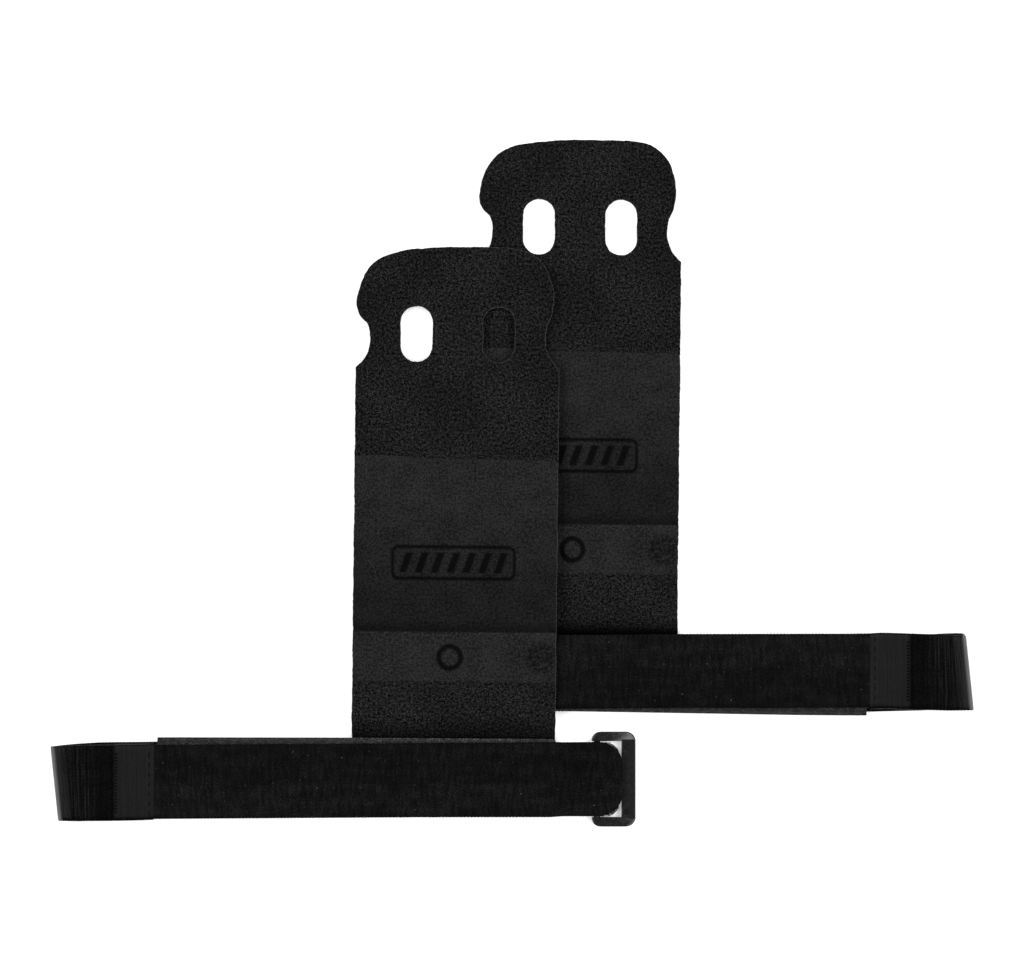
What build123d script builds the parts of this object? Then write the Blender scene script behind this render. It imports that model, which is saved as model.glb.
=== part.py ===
"""A pair of palm hand grips for bar work, lying flat, grip A's leather across grip B.

Each grip is a waisted leather blank with two finger slots. Its wrist end is sewn under a
hook-and-loop wrist strap, whose sewn eye holds a rectangular ring. The strap lies folded
shut, its tail on top. Millimetres, +Z up, origin on the floor under the middle of the pair.
"""

from build123d import *
import os

# Layers of the stack at the strap, from the floor up
leather_t = 1.8
tape_t = 0.8
pile_t = 1.6
selvedge_t = 0.5
layer_gap = 0.1
hook_t = 1.1
tape_z = leather_t + tape_t / 2
pile_z = leather_t + tape_t
tail_z = pile_z + pile_t + layer_gap + hook_t / 2

# Strap, laid along X. Stations are distances towards the sewn eye from the pair's middle
strap_w = 25.0
fold_x = -151.8
pile_from_x = -116.8
pile_to_x = 14.0
front_end_x = -117.8
hook_from_x = -131.0
tip_x = 35.2
tip_corner_r = 5.5
loop_top_z = 9.8
loop_split_z = 4.9
crest_x = -136.0
level_x = -115.5
pile_selvedge_w = 1.6

# Slope of the end loop's top, where the base tape comes down on to the hook tape
crest_z = loop_top_z - tape_t / 2
seam_lift = (tape_t + hook_t) / 2 + 0.03
loop_slope = (tail_z + seam_lift - crest_z) / (level_x - crest_x)

# Ring, and the strap's eye that holds its round bar
bar_x = 28.0
bar_z = 2.1
bar_d = 2.2
eye_play = 0.15
eye_end_x = 35.2
eye_flap_x = 16.0
back_from_x = -112.0
back_to_x = 12.0
ring_x0 = 26.2
ring_x1 = 40.6
ring_grip_x = 36.5
ring_l = 31.3
ring_gap = 25.5
ring_t = 3.0
ring_corner_r = 2.6

# Leather blank, measured from its centre line and from the strap's upper edge
body_half = 33.5
tab_depth = 23.5
shoulder_y = 122.8
waist_half = 28.2
waist_y = 133.3
slot_y = 134.5
slot_off = 13.55
slot_w = 10.8
slot_l = 18.2
lean = -0.6

# Thread
thread_w = 0.6
thread_t = 0.25
stitch_pitch = 4.0
stitch_l = 2.8

# Places of the two grips: leather centre line, strap centre line, way the strap runs
grips = {
    "a": {"leather_x": -19.4, "strap_y": -97.9, "way": 1},
    "b": {"leather_x": 20.9, "strap_y": -62.5, "way": -1},
}

# Side profile of grip A's leather: flat under its strap, then up over grip B's strap
ramp_foot_y = -82.9
ramp_head_y = -77.2
ramp_head_z = 7.3
ramp_r = 5.0
head_end_y = 80.0
head_end_z = 3.2
palm_cut = {"a": -74.6, "b": -49.5}
side_profile = {
    "a": [
        (-112.0, leather_t / 2),
        (ramp_foot_y, leather_t / 2),
        (ramp_head_y, ramp_head_z),
        (head_end_y, head_end_z),
    ],
    "b": [(-112.0, leather_t / 2), (122.0, leather_t / 2)],
}

os.makedirs("parts", exist_ok=True)


def save(part, name):
    """Labels a finished piece and writes it."""
    part.label = name
    export_step(part, f"parts/{name}.step")


def strap_edge(grip):
    """Y of the strap's upper edge."""
    return grip["strap_y"] + strap_w / 2


def strap_plane(grip):
    """XZ plane through the strap's centre line, with its normal along -Y."""
    return Plane.XZ.offset(-grip["strap_y"])


def run(grip, points):
    """Strap stations turned into sketch points for a strap that runs either way."""
    return [(grip["way"] * x, z) for x, z in points]


def slope_z(x):
    """Height of the base tape's middle on the sloping top of the end loop."""
    return crest_z + loop_slope * (x - crest_x)


def blank_plane(grip):
    """Floor plane of the leather blank: origin at the strap's upper edge, leaning a little."""
    about = Plane(origin=(grip["leather_x"], grip["strap_y"], 0))
    return about.rotated((0, 0, lean)).shift_origin(
        about.rotated((0, 0, lean)).from_local_coords((0, strap_w / 2, 0))
    )


def leather(name, y_from, y_to):
    """The part of a leather blank between two Y stations, along its side profile."""
    grip = grips[name]
    with BuildPart() as piece:
        with BuildSketch(Plane.YZ.offset(grip["leather_x"])):
            with BuildLine():
                if name == "a":
                    FilletPolyline(*side_profile[name], radius=ramp_r)
                else:
                    Polyline(*side_profile[name])
            trace(line_width=leather_t)
        extrude(amount=60, both=True)
        with BuildSketch(blank_plane(grip)):
            with BuildLine():
                body = Polyline(
                    (-body_half, shoulder_y),
                    (-body_half, -tab_depth),
                    (body_half, -tab_depth),
                    (body_half, shoulder_y),
                )
                right_notch = ThreePointArc(
                    body @ 1, (waist_half, waist_y), (waist_half + 1.5, waist_y + 4.4)
                )
                head = Spline(
                    right_notch @ 1,
                    (32.0, 142.6),
                    (31.8, 148.5),
                    (29.8, 155.2),
                    (26.0, 159.9),
                    (19.0, 162.8),
                    (0.0, 163.3),
                    (-16.0, 162.2),
                    (-25.0, 159.4),
                    (-30.2, 154.2),
                    (-33.2, 146.2),
                    (-32.4, 140.6),
                    (-waist_half - 1.8, waist_y + 4.2),
                    tangents=((0.55, 0.83), (0.7, -0.7)),
                )
                ThreePointArc(head @ 1, (-waist_half, waist_y), body @ 0)
            make_face()
            with Locations((-slot_off, slot_y), (slot_off, slot_y)):
                SlotOverall(slot_l, slot_w, rotation=90, mode=Mode.SUBTRACT)
        extrude(amount=12, mode=Mode.INTERSECT)
        split(bisect_by=Plane(origin=(0, y_from, 0), z_dir=(0, 1, 0)), keep=Keep.TOP)
        split(bisect_by=Plane(origin=(0, y_to, 0), z_dir=(0, 1, 0)), keep=Keep.BOTTOM)
    return piece.part


def tape(grip, path, radii):
    """A run of the base tape along a side path: its thickness about the path, full width."""
    with BuildPart() as piece:
        with BuildSketch(strap_plane(grip)):
            with BuildLine():
                if radii:
                    FilletPolyline(*run(grip, path), radius=radii)
                else:
                    Polyline(*run(grip, path))
            trace(line_width=tape_t)
        extrude(amount=strap_w / 2, both=True)
    return piece.part


def loop_tape(grip):
    """Lower half of the end loop, rising from the floor to the level of the pile's back."""
    path = [
        (fold_x + tape_t / 2, loop_split_z),
        (fold_x + tape_t / 2, tape_t / 2),
        (-131.0, tape_t / 2),
        (-119.0, tape_z),
        (back_from_x, tape_z),
    ]
    return tape(grip, path, [4.1, 8, 8])


def back_tape(grip):
    """The level run of the base tape, under the pile."""
    return tape(grip, [(back_from_x, tape_z), (back_to_x, tape_z)], None)


def eye_tape(grip):
    """The sewn eye round the ring's bar, with its end turned under the level run."""
    eye_top = bar_z + bar_d / 2 + eye_play + tape_t / 2
    eye_low = bar_z - bar_d / 2 - eye_play - tape_t / 2
    flap_z = tape_z - tape_t - 0.05
    path = [
        (back_to_x, tape_z),
        (16.5, tape_z),
        (23.5, eye_top),
        (eye_end_x - tape_t / 2, eye_top),
        (eye_end_x - tape_t / 2, eye_low),
        (23.5, eye_low),
        (19.5, flap_z),
        (eye_flap_x, flap_z),
    ]
    return tape(grip, path, [6, 6, 1.4, 1.4, 5, 5])


def front_tape(grip):
    """The rest of the base tape: the upper half of the end loop, sewn on to the hook tape."""
    path = [
        (fold_x + tape_t / 2, loop_split_z),
        (fold_x + tape_t / 2, crest_z),
        (crest_x, crest_z),
        (front_end_x, slope_z(front_end_x)),
    ]
    return tape(grip, path, [4.1, 20])


def hook_tape(grip):
    """Hook tape of the tail, from the seam with the base tape to its rounded tip."""
    path = [
        (hook_from_x, slope_z(hook_from_x) - seam_lift),
        (level_x, tail_z),
        (tip_x, tail_z),
    ]
    with BuildPart() as piece:
        with BuildSketch(strap_plane(grip)):
            with BuildLine():
                FilletPolyline(*run(grip, path), radius=[20])
            trace(line_width=hook_t)
        extrude(amount=strap_w / 2, both=True)
        tip = piece.edges().filter_by(Axis.Z).sort_by(Axis.X)
        fillet(tip[-2:] if grip["way"] > 0 else tip[:2], radius=tip_corner_r)
    return piece.part


def pile_tape(grip):
    """Pile tape on the base tape, raised between two thin woven selvedges."""
    half = strap_w / 2
    step = half - pile_selvedge_w
    section = [
        (-half, 0),
        (half, 0),
        (half, selvedge_t),
        (step, selvedge_t),
        (step, pile_t),
        (-step, pile_t),
        (-step, selvedge_t),
        (-half, selvedge_t),
    ]
    start = Plane(
        origin=(grip["way"] * pile_from_x, grip["strap_y"], pile_z),
        x_dir=(0, grip["way"], 0),
        z_dir=(grip["way"], 0, 0),
    )
    with BuildPart() as piece:
        with BuildSketch(start):
            with BuildLine():
                Polyline(*section, close=True)
            make_face()
        extrude(amount=pile_to_x - pile_from_x)
    return piece.part


def ring(grip):
    """Rectangular ring: a flat grip bar and two side arms, joined by a round bar."""
    middle = (ring_x0 + ring_x1) / 2
    arm_y = (ring_gap + ring_l) / 4
    arm_w = (ring_l - ring_gap) / 2
    body = Plane(origin=(grip["way"] * middle, grip["strap_y"], bar_z))
    with BuildPart() as piece:
        with BuildSketch(body):
            RectangleRounded(ring_x1 - ring_x0, ring_l, ring_corner_r)
        extrude(amount=ring_t / 2, both=True)
        with BuildSketch(body):
            with Locations((grip["way"] * (ring_grip_x - 10 - middle), 0)):
                Rectangle(20, ring_gap)
        extrude(amount=ring_t, both=True, mode=Mode.SUBTRACT)
        fillet(piece.edges().filter_by(GeomType.LINE).filter_by(Axis.Y), radius=0.6)
        with BuildSketch(Plane.XZ.offset(-grip["strap_y"])):
            with Locations((grip["way"] * bar_x, bar_z)):
                Circle(bar_d / 2)
        extrude(amount=arm_y + arm_w / 4, both=True)
    return piece.part


def stitch_rows(grip, rows, top_z, along_x):
    """Rows of short stitches lying on a level face, each row (fixed, from, to)."""
    length, width = (stitch_l, thread_w) if along_x else (thread_w, stitch_l)
    with BuildPart() as piece:
        for fixed, first, last in rows:
            count = int((last - first) / stitch_pitch) + 1
            for i in range(count):
                step = first + i * stitch_pitch
                x, y = (step, fixed) if along_x else (fixed, step)
                with Locations((grip["way"] * x, grip["strap_y"] + y, top_z)):
                    Box(length, width, thread_t, align=(Align.CENTER, Align.CENTER, Align.MIN))
    return piece.part


def edge_stitching(grip):
    """The two rows along the pile's selvedges, through base tape and leather."""
    row_y = strap_w / 2 - pile_selvedge_w / 2
    rows = [(y, pile_from_x + 2.4, pile_to_x - 2.0) for y in (-row_y, row_y)]
    return stitch_rows(grip, rows, pile_z + selvedge_t, True)


def eye_stitching(grip):
    """The bar tack that closes the eye, on top of the base tape beside the pile's end."""
    rows = [(15.2, -10.0, 10.0)]
    return stitch_rows(grip, rows, pile_z, False)


def seam_stitching(grip):
    """Two rows across the tail where the base tape is sewn on to the hook tape."""
    with BuildPart() as piece:
        for x in (hook_from_x + 2.0, front_end_x - 2.0):
            at = Plane(
                origin=(grip["way"] * x, grip["strap_y"], slope_z(x) + tape_t / 2 + 0.01),
                x_dir=(1, 0, grip["way"] * loop_slope),
                z_dir=(-grip["way"] * loop_slope, 0, 1),
            )
            with BuildSketch(at):
                with GridLocations(0, stitch_pitch, 1, 6):
                    Rectangle(thread_w, stitch_l)
            extrude(amount=thread_t)
    return piece.part


for name, grip in grips.items():
    waist = strap_edge(grip) + waist_y
    save(leather(name, -112.0, palm_cut[name]), f"wrist_tab_{name}")
    save(leather(name, palm_cut[name], waist), f"palm_leather_{name}")
    save(leather(name, waist, 122.0), f"finger_leather_{name}")
    save(loop_tape(grip), f"loop_tape_{name}")
    save(back_tape(grip), f"back_tape_{name}")
    save(eye_tape(grip), f"eye_tape_{name}")
    save(front_tape(grip), f"front_tape_{name}")
    save(hook_tape(grip), f"hook_tape_{name}")
    save(pile_tape(grip), f"pile_tape_{name}")
    save(ring(grip), f"ring_{name}")
    save(edge_stitching(grip), f"edge_stitching_{name}")
    save(eye_stitching(grip), f"eye_stitching_{name}")
    save(seam_stitching(grip), f"seam_stitching_{name}")
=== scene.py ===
"""Looks of the pair of palm hand grips: suede, woven tape, hook and pile, moulded rings.

Lengths here are millimetres in the row frame and turn into metres where a mesh is made.
A strap is laid out by stations along it, measured towards its sewn eye from the pair's
middle; grip B's strap is grip A's turned half a turn.
"""

import math

import bpy
import numpy as np
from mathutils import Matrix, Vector, noise
from mathutils.geometry import delaunay_2d_cdt


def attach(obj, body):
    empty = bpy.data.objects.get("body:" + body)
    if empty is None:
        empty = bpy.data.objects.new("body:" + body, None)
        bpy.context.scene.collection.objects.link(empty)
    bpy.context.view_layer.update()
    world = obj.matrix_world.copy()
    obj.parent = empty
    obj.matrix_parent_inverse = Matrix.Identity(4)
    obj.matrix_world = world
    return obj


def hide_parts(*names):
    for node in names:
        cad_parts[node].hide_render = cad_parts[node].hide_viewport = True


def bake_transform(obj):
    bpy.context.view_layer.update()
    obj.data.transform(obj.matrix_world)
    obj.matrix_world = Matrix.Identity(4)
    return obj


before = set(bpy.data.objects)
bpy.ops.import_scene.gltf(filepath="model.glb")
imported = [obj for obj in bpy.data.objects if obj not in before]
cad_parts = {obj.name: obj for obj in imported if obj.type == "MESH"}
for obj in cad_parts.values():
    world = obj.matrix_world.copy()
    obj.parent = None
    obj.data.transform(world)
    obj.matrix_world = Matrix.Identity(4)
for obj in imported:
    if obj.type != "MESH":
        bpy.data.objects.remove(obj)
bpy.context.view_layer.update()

MM = 0.001

# Layers of the stack at the strap, from the floor up
LEATHER_T = 1.8
TAPE_T = 0.8
TAPE_Z = 2.2
PILE_Z = 2.6
PILE_T = 1.6
SELVEDGE_T = 0.5
SELVEDGE_W = 1.6
TAIL_Z = 4.85
HOOK_BACK_T = 0.55
HOOK_T = 1.1

# Strap stations; FOLD_U is the fold's distance along the base tape from its sewn-down end
STRAP_W = 25.0
FOLD_X = -151.8
FOLD_U = 33.6
CREST_X = -131.2
CREST_Z = 9.4
LEVEL_X = -115.5
FRONT_END_X = -117.8
HOOK_FROM_X = -131.0
PILE_FROM_X = -116.8
PILE_TO_X = 14.0
TIP_X = 36.4
HOOK_W = 24.4
EYE_RIM = 0.07
SEAM_LIFT = (TAPE_T + HOOK_T) / 2 + 0.03
LOOP_SLOPE = (TAIL_Z + SEAM_LIFT - CREST_Z) / (LEVEL_X - CREST_X)

# Ring and eye
BAR_X = 28.0
BAR_Z = 2.1
BAR_D = 2.2
RING_X0 = 26.2
RING_X1 = 40.75
RING_GRIP_X = 36.05
RING_L = 31.3
RING_GAP = 25.0
RING_T = 3.0

# Leather blank, from its centre line and from the strap's upper edge
BODY_HALF = 33.5
TAB_DEPTH = 23.5
SHOULDER_Y = 123.3
WAIST_HALF = 28.9
WAIST_Y = 131.5
SLOT_Y = 134.5
SLOT_OFF = 13.55
SLOT_W = 10.45
SLOT_L = 18.2
LEAN = math.radians(-0.6)
OUTLINE_STEP = 0.8
HEAD = [
    (29.7, 138.2), (31.2, 142.6), (31.5, 148.5), (29.6, 155.2), (25.8, 159.9), (19.0, 162.8),
    (0.0, 163.3), (-16.0, 162.3), (-25.3, 159.6), (-30.6, 154.4), (-33.3, 146.0),
    (-32.6, 141.0), (-30.0, 138.0),
]

# The pressed band on the leather: its ends and its crease, and the two plain marks in it
BAND_LOW = 20.1
BAND_HIGH = 94.4
BAND_HIGH_TILT = -0.012
BAND_DEPTH = 0.22
CREASE_Y = 36.3
BADGE = (-0.6, 59.3, 20.0, 5.2)
MARK = (-1.5, 28.2, 3.6)

# How much of the raw edge's paler tone each ring of the edge has, from the top face down
RIM_TONE = (0.0, 0.15, 1.0, 1.0, 0.6, 0.0)

# Where each grip lies; "front", "back", "pile" and "ring" say how far that layer is off the
# strap's line at a few stations, because each strap was closed a little askew
GRIPS = {
    "a": {
        "leather_x": -19.4, "strap_y": -97.9, "way": 1, "hinge_y": -74.6, "hinge_z": 8.14,
        "front": ([-151.8, -140, -57, 36], [-0.7, -0.45, 0.08, 0.72]),
        "back": ([-151.8, -136, -116, 40], [-0.9, 0.04, 0.35, 0.4]),
        "pile": ([-117, -57, 22], [1.8, 1.7, 1.15]),
        "ring": ([0, 40], [0.5, 0.5]),
    },
    "b": {
        "leather_x": 20.9, "strap_y": -62.5, "way": -1, "hinge_y": -49.5, "hinge_z": 1.8,
        "front": ([-151.8, -136, -121, -111, -55, 30], [-0.2, -0.6, -1.05, -0.9, -0.8, -0.1]),
        "back": ([-151.8, -134, -116, 40], [-1.0, -0.08, 0.25, 0.0]),
        "pile": ([-117, -95, -19, 15], [1.45, 1.3, 0.04, -0.4]),
        "ring": ([0, 40], [0.0, 0.0]),
    },
}

# Grip A's leather from the side: where it turns up over grip B's, and how round the turns are
RAMP = [(-82.9, 0.9), (-77.2, 7.3), (80.0, 3.2)]
RAMP_R = 5.0


# ---- small helpers


def smooth(lo, hi, x):
    """0 below lo, 1 above hi, and a smooth turn between them."""
    t = np.clip((np.asarray(x, float) - lo) / (hi - lo), 0, 1)
    return t * t * (3 - 2 * t)


def ripple(points, scale, seed=0.0):
    """Smooth noise from -1 to 1 at points in millimetres, one bump about 1/scale long."""
    flat = np.atleast_2d(points)
    return np.array([noise.noise(Vector((p[0] * scale, p[1] * scale, seed))) for p in flat])


def outward(verts, faces):
    """The faces turned so that a closed shell's normals point out."""
    verts = np.asarray(verts, float)
    verts = verts - verts.mean(0)
    fans = np.array([(f[0], j, k) for f in faces for j, k in zip(f[1:], f[2:])])
    a, b, c = (verts[fans[:, i]] for i in range(3))
    volume = (a * np.cross(b, c)).sum()
    return [tuple(reversed(f)) for f in faces] if volume < 0 else faces


def link(name, data):
    """A new object in the scene."""
    obj = bpy.data.objects.new(name, data)
    bpy.context.scene.collection.objects.link(obj)
    return obj


def make_mesh(name, verts, faces, uv, sharp=None, material=None, **values):
    """A smooth-shaded mesh from vertices in millimetres, with a UV map in millimetres."""
    mesh = bpy.data.meshes.new(name)
    mesh.from_pydata(np.asarray(verts, float) * MM, [], outward(verts, faces))
    layer = mesh.uv_layers.new(name="mm")
    loops = np.zeros(len(mesh.loops), np.int32)
    mesh.loops.foreach_get("vertex_index", loops)
    layer.data.foreach_set("uv", np.asarray(uv, np.float32)[loops].ravel())
    for key, value in values.items():
        attribute = mesh.attributes.new(key, "FLOAT", "POINT")
        attribute.data.foreach_set("value", np.asarray(value, np.float32))
    mesh.validate()
    mesh.shade_smooth()
    if sharp is not None:
        mesh.set_sharp_from_angle(angle=math.radians(sharp))
    if material is not None:
        mesh.materials.append(material)
    return link(name, mesh)


def tube_faces(rows, n, capped=False):
    """Faces between rows of n vertices each, wrapped round, with the two ends closed or open."""
    faces = []
    for i in range(rows - 1):
        for j in range(n):
            k = (j + 1) % n
            faces.append((i * n + j, i * n + k, (i + 1) * n + k, (i + 1) * n + j))
    if capped:
        faces.append(tuple(range(n - 1, -1, -1)))
        faces.append(tuple((rows - 1) * n + j for j in range(n)))
    return faces


class Shells:
    """Gathers several shells into the vertices and faces of one mesh."""

    def __init__(self):
        self.verts, self.faces = [], []
        self.count = 0

    def add(self, verts, faces):
        verts = np.asarray(verts, float)
        self.verts.append(verts)
        self.faces += [[i + self.count for i in face] for face in outward(verts, faces)]
        self.count += len(verts)

    def mesh(self, name, grip, material, shift=0.0, sharp=None):
        """All the shells as one object on a grip's strap, a little off its line."""
        flat = np.vstack(self.verts)
        verts = on_strap(grip, flat + (0, shift, 0))
        return make_mesh(name, verts, self.faces, flat[:, :2], sharp, material)


def straight(a, b, step):
    """Points from a up to but without b."""
    a, b = np.array(a, float), np.array(b, float)
    pieces = max(1, int(np.linalg.norm(b - a) / step))
    return [a + (b - a) * k / pieces for k in range(pieces)]


def arc_path(points, radii, step):
    """Points along straight runs joined by tangent arcs, with a direction at each."""
    points = [np.array(p, float) for p in points]
    out = [points[0]]
    for before, corner, after, r in zip(points, points[1:], points[2:], radii):
        a = (before - corner) / np.linalg.norm(before - corner)
        b = (after - corner) / np.linalg.norm(after - corner)
        turn = math.pi - math.acos(max(-1, min(1, float(a @ b))))
        reach = r * math.tan(turn / 2)
        first = corner + a * reach
        middle = corner + (a + b) / np.linalg.norm(a + b) * (r / math.cos(turn / 2))
        side = first - middle
        spin = np.sign(a[0] * -b[1] + a[1] * b[0])
        steps = max(3, int(r * turn / min(step, 0.5)))
        for k in range(steps + 1):
            angle = spin * turn * k / steps
            c, s = math.cos(angle), math.sin(angle)
            out.append(middle + np.array([c * side[0] - s * side[1], s * side[0] + c * side[1]]))
    out.append(points[-1])
    path = np.array([spot for p, q in zip(out, out[1:]) for spot in straight(p, q, step)] + out[-1:])
    direction = np.gradient(path, axis=0)
    direction /= np.linalg.norm(direction, axis=1)[:, None]
    along = np.concatenate([[0], np.cumsum(np.linalg.norm(np.diff(path, axis=0), axis=1))])
    return path, direction, along


def tape_section(width, thickness, across=16):
    """Closed outline of a flat tape: positions across it and through it."""
    half, h = width / 2, thickness / 2
    flat = half - 0.9 * h
    top = [(w, h) for w in np.linspace(-flat, flat, across)]
    edge = [(half - 0.15 * h, 0.5 * h), (half, 0.0), (half - 0.15 * h, -0.5 * h)]
    bottom = [(w, -h) for w in np.linspace(flat, -flat, across)]
    return np.array(top + edge + bottom + [(-w, -z) for w, z in edge])


def sweep(path, direction, section, edge, squeeze=1.0):
    """A closed section carried along a side path: squeezed, with bumps along its edges."""
    across, through = section.T
    rim = np.abs(across) / np.abs(across).max()
    squeeze = np.ones(len(path)) * squeeze
    verts = np.zeros((len(path), len(section), 3))
    verts[:, :, 0] = path[:, 0, None] - direction[:, 1, None] * through
    verts[:, :, 1] = across * squeeze[:, None] + np.sign(across) * edge[:, None] * smooth(0.9, 1.0, rim)
    verts[:, :, 2] = path[:, 1, None] + direction[:, 0, None] * through
    return verts.reshape(-1, 3), tube_faces(len(path), len(section), True)


def on_strap(grip, verts):
    """Strap stations, distance across and height, turned into the row frame."""
    verts = np.array(verts, float)
    verts[:, :2] *= grip["way"]
    verts[:, 1] += grip["strap_y"]
    return verts


def loop_height(x):
    """Height of the base tape's middle on the sloping top of the end loop."""
    return CREST_Z + LOOP_SLOPE * (x - CREST_X)


def askew(grip, layer, x):
    """How far a layer of a strap is off the strap's line at station x."""
    return np.interp(x, *grip[layer])


# ---- materials


class Nodes:
    """A short way to write a material's nodes."""

    def __init__(self, name, rough, specular, sheen=0.0, sheen_rough=0.5):
        self.mat = bpy.data.materials.new(name)
        self.mat.use_nodes = True
        self.tree = self.mat.node_tree
        self.shader = self.tree.nodes["Principled BSDF"]
        self.put(self.shader, "Roughness", rough)
        self.put(self.shader, "Specular IOR Level", specular)
        self.put(self.shader, "Sheen Weight", sheen)
        self.put(self.shader, "Sheen Roughness", sheen_rough)

    def put(self, node, socket, value):
        """Sets a socket to a number, a colour or another node's output."""
        if isinstance(value, bpy.types.NodeSocket):
            self.tree.links.new(value, node.inputs[socket])
        elif isinstance(value, tuple) and len(value) == 3:
            node.inputs[socket].default_value = (*value, 1.0)
        else:
            node.inputs[socket].default_value = value

    def node(self, kind, *inputs):
        """A new node with its first inputs set."""
        node = self.tree.nodes.new("ShaderNode" + kind)
        for i, value in enumerate(inputs):
            self.put(node, i, value)
        return node

    def uv(self):
        node = self.node("UVMap")
        node.uv_map = "mm"
        return node.outputs[0]

    def split(self, vector):
        return self.node("SeparateXYZ", vector).outputs[:2]

    def join(self, x, y):
        return self.node("CombineXYZ", x, y).outputs[0]

    def value(self, name):
        node = self.node("Attribute")
        node.attribute_name = name
        return node.outputs["Fac"]

    def math(self, operation, a, b=0.0, c=0.0):
        node = self.node("Math", a, b, c)
        node.operation = operation
        return node.outputs[0]

    def plus(self, a, b):
        return self.math("ADD", a, b)

    def minus(self, a, b):
        return self.math("SUBTRACT", a, b)

    def times(self, a, b):
        return self.math("MULTIPLY", a, b)

    def scaled(self, a, by, more):
        """a times by, plus more."""
        return self.math("MULTIPLY_ADD", a, by, more)

    def noise(self, vector, scale, detail=2.0, rough=0.55):
        node = self.node("TexNoise", vector)
        self.put(node, "Scale", scale)
        self.put(node, "Detail", detail)
        self.put(node, "Roughness", rough)
        return node.outputs["Fac"]

    def range(self, value, a, b, c=0.0, d=1.0):
        node = self.node("MapRange", value, a, b, c, d)
        node.interpolation_type = "SMOOTHSTEP"
        return node.outputs[0]

    def mix(self, factor, a, b):
        """Between two values."""
        node = self.node("Mix", factor)
        self.put(node, 2, a)
        self.put(node, 3, b)
        return node.outputs[0]

    def colour(self, value):
        """Paints the surface grey by one value."""
        self.put(self.shader, "Base Color", self.node("CombineColor", value, value, value).outputs[0])

    def rough(self, value):
        self.put(self.shader, "Roughness", value)

    def bump(self, height, strength, distance):
        node = self.node("Bump")
        self.put(node, "Height", height)
        self.put(node, "Strength", strength)
        self.put(node, "Distance", distance * MM)
        self.put(self.shader, "Normal", node.outputs[0])


def leather_material():
    """Black suede: a speckled nap, a smoother pressed band, scuffs, a paler raw edge and painted shade
    along the strap.
    """
    m = Nodes("suede", 0.9, 0.02, sheen=0.004, sheen_rough=0.4)
    uv = m.uv()
    u, v = m.split(uv)
    nap = m.noise(uv, 1.2, 4.0, 0.72)
    tuft = m.noise(uv, 2.9, 2.0, 0.6)
    speckle = m.plus(m.times(nap, 0.55), m.times(tuft, 0.45))
    wander = m.scaled(m.noise(uv, 0.35, 2.0), 0.56, -0.28)
    level = m.plus(v, wander)
    in_band = m.range(level, BAND_LOW - 0.3, BAND_LOW + 0.3)
    band = m.times(in_band, m.minus(1.0, m.value("above")))
    bright = m.times(m.range(tuft, 0.56, 0.7), m.range(nap, 0.48, 0.62))
    fleck = m.range(speckle, 0.43, 0.58, 0.0001, 0.0165)
    fleck = m.scaled(bright, 0.045, fleck)
    fleck = m.times(fleck, m.range(m.noise(uv, 0.05, 3.0), 0.35, 0.65, 0.82, 1.15))
    base = m.mix(band, fleck, band_tone(m, uv, u, v, speckle))
    rim_tone = m.range(tuft, 0.38, 0.62, 0.03, 0.17)
    base = m.mix(m.value("rim"), base, rim_tone)
    pressed_tone_and_strap_shade = m.minus(1.0, m.times(m.value("pressed"), 0.88))
    # Painted shade: the colour fades to black over the last 6.5 mm of leather above the strap.
    pressed_tone_and_strap_shade = m.times(pressed_tone_and_strap_shade, m.range(v, 0.0, 6.5, 0.0, 1.0))
    m.colour(m.times(base, pressed_tone_and_strap_shade))
    m.rough(m.mix(band, 0.93, m.range(nap, 0.3, 0.7, 0.5, 0.66)))
    m.bump(m.times(speckle, m.mix(band, 1.0, 0.2)), 1.0, 0.5)
    return m.mat


def band_tone(m, uv, u, v, speckle):
    """Tone of the pressed band: rubbed paler upward, dark over the crease, patchy below it."""
    worn = m.range(v, 44.0, 84.0, 0.006, 0.0104)
    over_crease = m.range(v, CREASE_Y + 0.3, CREASE_Y + 5.0, 0.0028, 0.006)
    worn = m.mix(m.range(v, CREASE_Y + 3.8, CREASE_Y + 6.0), over_crease, worn)
    rough_patch = m.range(distance_to(m, u, v, 28.6, 28.4), 6.4, 4.0)
    rough_patch = m.times(rough_patch, m.range(m.noise(uv, 0.9, 3.0), 0.35, 0.6))
    low = m.times(0.0104, m.minus(1.0, m.times(rough_patch, 0.75)))
    tone = m.mix(m.range(v, CREASE_Y - 0.7, CREASE_Y + 0.9), low, worn)
    line = m.range(m.math("ABSOLUTE", m.minus(v, CREASE_Y - 0.1)), 0.4, 0.1)
    line = m.times(line, m.range(m.noise(uv, 0.7, 3.0), 0.42, 0.62))
    tone = m.scaled(line, 0.006, tone)
    cloud = m.scaled(m.noise(uv, 0.12, 2.0, 0.5), 0.12, speckle)
    tone = m.times(tone, m.range(cloud, 0.48, 0.64, 0.3, 1.75))
    return m.scaled(scuffs(m, uv, u, v), 0.009, tone)


def distance_to(m, u, v, cu, cv):
    """Distance from a point of the blank."""
    du = m.minus(u, cu)
    dv = m.minus(v, cv)
    return m.math("SQRT", m.plus(m.math("POWER", du, 2.0), m.math("POWER", dv, 2.0)))


def scuffs(m, uv, u, v):
    """Faint, broken, curved scratches in the pressed band."""
    arcs = ((-33.5, 54.0, 7.5, 52.0, 61.0), (13.0, 57.0, 8.6, 51.0, 64.0), (-26.0, 24.0, 5.0, 21.5, 29.0))
    total = 0.0
    for cu, cv, r, lo, hi in arcs:
        far = distance_to(m, u, v, cu, cv)
        line = m.range(m.math("ABSOLUTE", m.minus(far, r)), 0.28, 0.05)
        ends = m.times(m.range(v, lo, lo + 2), m.range(v, hi, hi - 2))
        side = m.times(m.range(u, cu, cu + 2.0), ends)
        total = m.plus(total, m.times(line, side))
    return m.times(total, m.range(m.noise(uv, 0.8, 2.0), 0.42, 0.6))


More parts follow.
